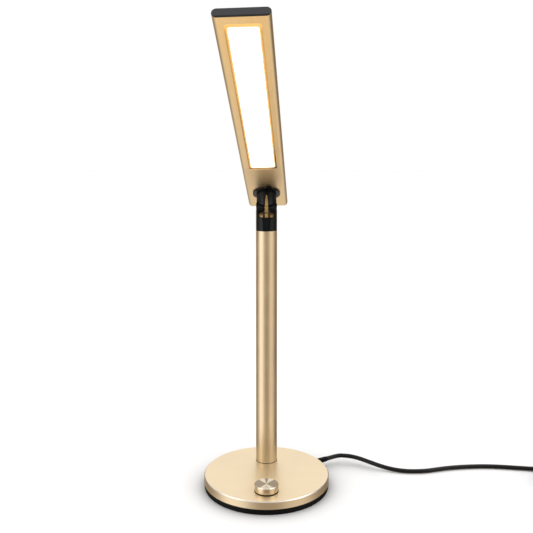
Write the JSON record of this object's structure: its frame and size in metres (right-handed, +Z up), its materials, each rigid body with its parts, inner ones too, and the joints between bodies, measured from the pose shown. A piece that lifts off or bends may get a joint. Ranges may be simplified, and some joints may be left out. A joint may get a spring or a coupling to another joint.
{
  "type": "desk lamp",
  "caption": "Desk lamp with a round weighted base, a rotary dimmer knob, a slim pole and a flat LED bar head that tilts and swivels on a two-part joint.",
  "frame": {"origin": "centre of the round base on the surface that the lamp stands on", "axes": "+Z up along the pole, -Y towards the front, where the knob is and the head reaches"},
  "size_m": [0.4668, 0.3464, 0.5053],
  "materials": {
    "gold_satin": "satin gold anodised, fine brushing",
    "gold_turned": "gold anodised, turned face",
    "brass": "satin brass",
    "black_metal": "satin black paint",
    "black_rubber": "matte black rubber",
    "cord_black": "soft black cord sheath",
    "black_plastic": "matte black plastic",
    "cap_grey": "matte dark grey plastic",
    "tie_grey": "woven hook and loop tie",
    "iron": "raw casting",
    "steel": "zinc plated",
    "pin_chrome": "nickel plated",
    "board_green": "circuit board",
    "part_dark": "moulded components",
    "lead_sheath": "wire sheath",
    "opal": "opal acrylic, lit",
    "white_plastic": "white sheet",
    "led_yellow": "phosphor"
  },
  "bodies": {
    "stand": {"base_cover": "gold_satin", "base_weight": "iron", "base_plate": "black_metal", "foot_pad": "black_rubber", "base_screws": "steel", "dimmer_body": "steel", "dimmer_nut": "steel", "knob_ring": "black_plastic", "driver_board": "board_green", "driver_parts": "part_dark", "cord_gland": "black_rubber", "power_cord": "cord_black", "cord_coil": "cord_black", "plug_lead": "cord_black", "coil_tie": "tie_grey", "adapter_body": "black_plastic", "adapter_face": "black_plastic", "adapter_pins": "pin_chrome", "adapter_boot": "black_rubber", "pole_tube": "gold_satin", "pole_foot": "steel", "pole_nipple": "brass", "nipple_washer": "steel", "nipple_nut": "steel", "pole_lead": "lead_sheath", "knuckle_cup": "black_metal", "yoke": "brass", "yoke_screws": "steel", "hinge_pin": "steel"},
    "knob": {"dimmer_shaft": "steel", "dimmer_knob": "gold_turned"},
    "tilt_knuckle": {"hinge_tongue": "brass", "friction_washers": "black_plastic", "upper_knuckle": "black_metal", "swivel_bolt": "steel", "swivel_washer": "black_plastic", "swivel_nut": "steel"},
    "head": {"head_housing": "gold_satin", "end_cap": "cap_grey", "diffuser": "opal", "reflector_sheet": "white_plastic", "led_board": "white_plastic", "led_chips": "led_yellow", "swivel_plate": "steel", "plate_rivets": "steel", "head_lead": "lead_sheath"}
  },
  "joints": [
    {"name": "dimmer_turn", "type": "hinge", "parent": "stand", "child": "knob", "pos_m": [0, -0.0455, 0.0145], "axis": [0, 0, 1], "range_deg": [-150, 150]},
    {"name": "head_tilt", "type": "hinge", "parent": "stand", "child": "tilt_knuckle", "pos_m": [0, 0.0347, 0.3172], "axis": [-1, 0, 0], "range_deg": [-43, 32]},
    {"name": "head_swivel", "type": "hinge", "parent": "tilt_knuckle", "child": "head", "pos_m": [0, 0.0347, 0.3172], "axis": [0, 0.4695, 0.8829], "range_deg": [-86, 93]}
  ]
}
